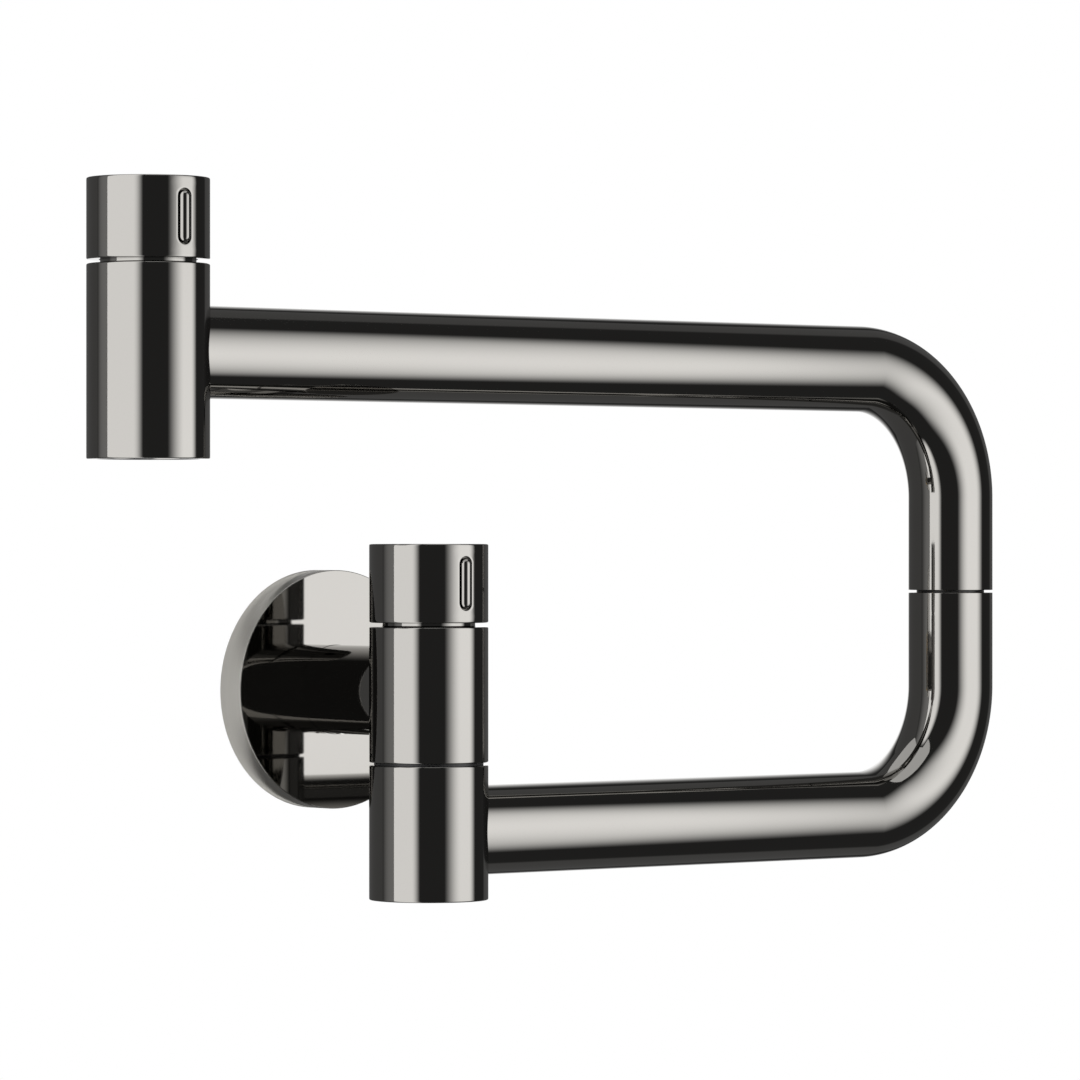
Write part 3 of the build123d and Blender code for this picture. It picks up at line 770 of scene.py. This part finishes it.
def stadium_point(distance, radius, straight):
    """Point on an upright round-ended outline, at a distance round it from its right side."""
    quarter = pi * radius
    legs = [2 * straight, quarter, 2 * straight, quarter]
    distance = (distance + straight) % sum(legs)
    if distance < legs[0]:
        return radius, distance - straight
    distance -= legs[0]
    if distance < legs[1]:
        angle = distance / radius
        return radius * cos(angle), straight + radius * sin(angle)
    distance -= legs[1]
    if distance < legs[2]:
        return -radius, straight - distance
    angle = (distance - legs[2]) / radius
    return -radius * cos(angle), -straight - radius * sin(angle)


# %% [markdown]
# The cap's wall is drawn with many short rows, so that the window for an opening can be taken
# out close round it. Inside, a wide skirt goes over the neck and a bore takes the spindle.
# The rims of the openings and both ends of the wall are rounded last.


# %% Knobs
KNOB_SKIRT_RADIUS = 11.6 * MM
KNOB_CAVITY = 8.5 * MM
KNOB_BORE_RADIUS = 4 * MM
KNOB_BORE_TOP = 16 * MM


def make_knob(height):
    rows = int(height / ROW_HEIGHT)
    wall = [(COLUMN_RADIUS, height * (row / rows)) for row in range(rows + 1)]
    inside = [
        (0, height),
        (0, KNOB_BORE_TOP),
        (KNOB_BORE_RADIUS, KNOB_BORE_TOP),
        (KNOB_BORE_RADIUS, KNOB_CAVITY),
        (KNOB_SKIRT_RADIUS, KNOB_CAVITY),
        (KNOB_SKIRT_RADIUS, 0),
    ]
    bm = turned(wall + inside, rounding=0, steps=KNOB_SIDES)
    rims = cut_opening(bm, -1, height / 2, SLOT_WIDTH, SLOT_HEIGHT, SLOT_DEPTH)
    hole_width = 2 * SCREW_HOLE_RADIUS
    rims += cut_opening(bm, 1, SCREW_RISE, hole_width, hole_width, SCREW_HOLE_DEPTH)
    bmesh.ops.recalc_face_normals(bm, faces=bm.faces)
    round_edges(bm, OPENING_ROUNDING, 2, [edge for edge in rims if edge.is_valid])
    ends = []
    for edge in bm.edges:
        flat = abs(edge.verts[0].co.z - edge.verts[1].co.z) < SAME_PLACE
        at_end = min(abs(edge.verts[0].co.z), abs(edge.verts[0].co.z - height)) < SAME_PLACE
        if flat and at_end and on_wall(edge.verts[0]) and on_wall(edge.verts[1]):
            ends.append(edge)
    round_edges(bm, EDGE_ROUNDING, 3, ends)
    return bm


for valve_name, axis in (("wall", COLUMN_AXIS), ("outlet", OUTLET_AXIS)):
    knob_low, knob_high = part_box(valve_name + "_knob")
    knob = make_knob(knob_high.z - knob_low.z)
    stand(knob, axis + Vector((0, 0, knob_low.z)))
    body = valve_name + "_valve_knob"
    finish_piece(knob, valve_name + "_knob_cap", body, "dark_platinum", [valve_name + "_knob"])

# %% [markdown]
# In each slot lies a half-round bar. It starts as a disc, whose upper half is lifted and whose
# lower half is lowered until it is a plate with round ends. The plate is extruded forwards
# from the floor of the slot, and a bevel as wide as its radius rounds its whole front over.

# %% Slot inlays
INLAY_WIDTH = 2.9 * MM
INLAY_HEIGHT = 12.2 * MM
INLAY_SIDES = 56
INLAY_ROUND_STEPS = 12


def make_inlay(front, floor):
    """Bar with round ends from the slot's floor to its foremost line, its front rounded over."""
    radius = INLAY_WIDTH / 2
    lift = INLAY_HEIGHT / 2 - radius
    bm = bmesh.new()
    facing_out = Matrix.Rotation(QUARTER_TURN, 4, "X")
    bmesh.ops.create_circle(bm, cap_ends=True, segments=INLAY_SIDES, radius=radius, matrix=facing_out)
    for vert in bm.verts:
        vert.co.z += lift if vert.co.z > 0 else -lift
    made = bmesh.ops.extrude_face_region(bm, geom=bm.faces[:], use_keep_orig=True)["geom"]
    reach = front - floor
    bmesh.ops.translate(bm, verts=verts_of(made), vec=(0, reach, 0))
    bmesh.ops.recalc_face_normals(bm, faces=bm.faces)
    foremost = {vert for vert in bm.verts if abs(vert.co.y - reach) < SAME_PLACE}
    rim = [edge for edge in bm.edges if foremost.issuperset(edge.verts)]
    round_edges(bm, radius * 0.985, INLAY_ROUND_STEPS, rim)
    bmesh.ops.remove_doubles(bm, verts=bm.verts, dist=2e-6)
    bmesh.ops.translate(bm, verts=bm.verts, vec=(0, floor, 0))
    return bm


for valve_name, axis in (("wall", COLUMN_AXIS), ("outlet", OUTLET_AXIS)):
    inlay_low, inlay_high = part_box(valve_name + "_knob_inlay")
    inlay = make_inlay(inlay_low.y, inlay_high.y)
    stand(inlay, Vector((axis.x, 0, (inlay_low.z + inlay_high.z) / 2)))
    body = valve_name + "_valve_knob"
    finish_piece(inlay, valve_name + "_knob_bar", body, "dark_platinum", [valve_name + "_knob_inlay"])

# %% [markdown]
# The studio. The camera looks level, from the left, through a long lens, so the object is
# drawn almost without perspective. The horizon is a little under the middle of the picture.

# %% Camera
CAMERA_TURN = radians(39.53)
CAMERA_PLACE = (-0.8914, -1.1678, 0.03575)
FOCAL_PIXELS = 5908
PICTURE_PIXELS = 1080
HORIZON_DROP = 4.9
SENSOR_WIDTH = 36

camera_data = bpy.data.cameras.new("camera")
camera_data.sensor_width = SENSOR_WIDTH
camera_data.lens = FOCAL_PIXELS / PICTURE_PIXELS * SENSOR_WIDTH
camera_data.shift_y = HORIZON_DROP / PICTURE_PIXELS
camera = bpy.data.objects.new("camera", camera_data)
camera.location = CAMERA_PLACE
camera.rotation_euler = (QUARTER_TURN, 0, -CAMERA_TURN)
bpy.context.scene.collection.objects.link(camera)
bpy.context.scene.camera = camera

# %% [markdown]
# A mirror shows the studio, so the studio is part of the finish. Its lights are planes that
# glow on the side of the tap: a narrow card close on the left with a dim one beside it, a
# large soft box far on the right, and another behind the wall for views from there. They
# fade evenly towards their edges, as a lamp behind white cloth does. Places in the studio are
# given as the camera sees them: so far to its right, and so far towards it.


# %% Light cards
CLOTH_TONE = 0.04


def studio_point(right, near, height):
    """Metres to the camera's right, towards the camera, and up, as a place in the room."""
    turn_cos, turn_sin = cos(CAMERA_TURN), sin(CAMERA_TURN)
    x = right * turn_cos - near * turn_sin
    y = -right * turn_sin - near * turn_cos
    return Vector((x, y, height))


def make_card(name, start, end, low, high, strength, across, upright):
    """An upright plane that glows towards the tap, and fades along its width and up its height."""
    bm = bmesh.new()
    uv = bm.loops.layers.uv.new("UVMap")
    corners = [(start, low, 0, 0), (end, low, 1, 0), (end, high, 1, 1), (start, high, 0, 1)]
    places = [studio_point(*place, height) for place, height, _, _ in corners]
    face = bm.faces.new([bm.verts.new(place) for place in places])
    for loop, (_, _, u, v) in zip(face.loops, corners):
        loop[uv].uv = (u, v)
    face.normal_update()
    if face.normal.dot(COLUMN_AXIS - face.calc_center_median()) < 0:
        face.normal_flip()
    card = new_object(bm, name)
    material, finish = new_material(name)
    place = finish.node("ShaderNodeTexCoord", output="UV")
    place = finish.node("ShaderNodeSeparateXYZ", inputs={0: place})
    width = Wire(finish, place.socket.node.outputs["X"])
    height = Wire(finish, place.socket.node.outputs["Y"])
    width_fade = finish.node("ShaderNodeValToRGB", {"stops": ("EASE", across)}, {0: width})
    height_fade = finish.node("ShaderNodeValToRGB", {"stops": ("EASE", upright)}, {0: height})
    light = finish.maximum(width_fade * height_fade * strength, CLOTH_TONE)
    glow = finish.node("ShaderNodeEmission", inputs={"Color": (1, 1, 1, 1), "Strength": light})
    from_behind = finish.node("ShaderNodeNewGeometry", output="Backfacing")
    clear = finish.node("ShaderNodeBsdfTransparent")
    one_sided = finish.node("ShaderNodeMixShader", inputs={0: from_behind, 1: glow, 2: clear})
    finish.node_output(one_sided)
    card.data.materials.append(material)
    card.visible_camera = False
    card.visible_shadow = False


EVEN = [(0.0, 1.0), (1.0, 1.0)]
SOFT_MIDDLE = [(0.0, 0.0), (0.5, 1.0), (1.0, 0.0)]
SOFT_ENDS = [(0.0, 0.0), (0.25, 1.0), (0.75, 1.0), (1.0, 0.0)]

make_card(
    "left_card", (-0.22, 0.136), (-0.06, 0.38), -1.0, 1.1, 2.0,
    [(0.0, 1.0), (0.6, 1.0), (1.0, 0.0)], SOFT_ENDS,
)
make_card(
    "left_shade", (-0.221, 0.135), (-0.62, -0.06), -1.0, 1.1, 0.4,
    [(0.0, 1.0), (1.0, 0.2)], EVEN,
)
make_card(
    "right_soft_box", (0.32, 0.57), (0.86, -0.21), -0.95, 1.0, 2.2,
    [(0.0, 0.0), (0.4, 1.0), (0.6, 1.0), (0.9, 0.0)], [(0.05, 0.0), (0.5, 1.0), (0.95, 0.0)],
)
make_card(
    "back_soft_box", (-0.5, -1.3), (0.5, -1.3), -0.8, 1.2, 1.4,
    SOFT_MIDDLE, SOFT_MIDDLE,
)

# %% [markdown]
# Round the lights stands a dark tent, open at the top, as one would hang dark cloth round
# polished metal. It is a little lighter on the side of the wall. The camera doesn't see it.

# %% Dark tent
TENT_RADIUS = 1.7
TENT_LOW = -1.25
TENT_HIGH = 2.6
TENT_TONES = [(0.0, CLOTH_TONE), (0.50, CLOTH_TONE), (0.54, 0.13), (1.0, 0.12)]


def make_tent():
    bm = bmesh.new()
    matrix = Matrix.Translation((0, 0, TENT_LOW))
    bmesh.ops.create_circle(bm, cap_ends=True, segments=96, radius=TENT_RADIUS, matrix=matrix)
    sides = bmesh.ops.extrude_edge_only(bm, edges=bm.edges[:])["geom"]
    bmesh.ops.translate(bm, verts=verts_of(sides), vec=(0, 0, TENT_HIGH - TENT_LOW))
    tent = new_object(bm, "dark_tent")
    material, finish = new_material("dark_cloth")
    place = finish.node("ShaderNodeTexCoord", output="Object")
    place = finish.node("ShaderNodeVectorMath", {"operation": "NORMALIZE"}, {0: place})
    parts = finish.node("ShaderNodeSeparateXYZ", inputs={0: place}).socket.node.outputs
    wallward = 0.5 * Wire(finish, parts["Y"]) + 0.5
    tone = finish.node("ShaderNodeValToRGB", {"stops": ("LINEAR", TENT_TONES)}, {0: wallward})
    finish.node_output(finish.node("ShaderNodeEmission", inputs={"Color": tone, "Strength": 1.0}))
    tent.data.materials.append(material)
    for ray in ("camera", "diffuse", "transmission", "shadow"):
        setattr(tent, "visible_" + ray, False)


make_tent()

# %% [markdown]
# The world outside the tent is white for the camera and for what metal or glass shows of it,
# and an even pale light for everything matt.


# %% World
MATT_LIGHT = 0.6


def make_world():
    world = bpy.data.worlds.new("studio")
    bpy.context.scene.world = world
    world.use_nodes = True
    room = Finish(world.node_tree)
    seen = room.seen_directly_or_mirrored()
    shine = {"Color": (1, 1, 1, 1), "Strength": MATT_LIGHT + (1 - MATT_LIGHT) * seen}
    shine = room.node("ShaderNodeBackground", inputs=shine)
    end = world.node_tree.nodes.new("ShaderNodeOutputWorld")
    world.node_tree.links.new(shine.socket, end.inputs["Surface"])


make_world()

# %% [markdown]
# A pale floor lies under the object, out of the picture, and shows in views from above. Far
# out it turns into the white of the background.


# %% Floor
FLOOR_DROP = 1.3
FLOOR_RADIUS = 3.0
WHITE_FROM = 0.5
WHITE_BEYOND = 1.6


def make_floor():
    bm = bmesh.new()
    matrix = Matrix.Translation((0, 0, -FLOOR_DROP))
    bmesh.ops.create_circle(bm, cap_ends=True, segments=128, radius=FLOOR_RADIUS, matrix=matrix)
    floor = new_object(bm, "floor")
    material, finish = new_material("pale_floor")
    seen = finish.seen_directly_or_mirrored()
    tone = finish.between(finish.noise(3, 1.0), (0.86, 0.86, 0.86), (0.9, 0.9, 0.9))
    matt = finish.node("ShaderNodeBsdfDiffuse", inputs={"Color": tone})
    white = finish.node("ShaderNodeEmission", inputs={"Color": (1, 1, 1, 1), "Strength": 1.0})
    place = finish.node("ShaderNodeTexCoord", output="Object")
    reach = finish.node("ShaderNodeVectorMath", {"operation": "LENGTH"}, {0: place}, output="Value")
    smooth = {"interpolation_type": "SMOOTHSTEP"}
    far = finish.node("ShaderNodeMapRange", smooth, {0: reach, 1: WHITE_FROM, 2: WHITE_BEYOND})
    finish.node_output(finish.node("ShaderNodeMixShader", inputs={0: far * seen, 1: matt, 2: white}))
    floor.data.materials.append(material)


make_floor()

scene = bpy.context.scene
scene.view_settings.view_transform = "Standard"
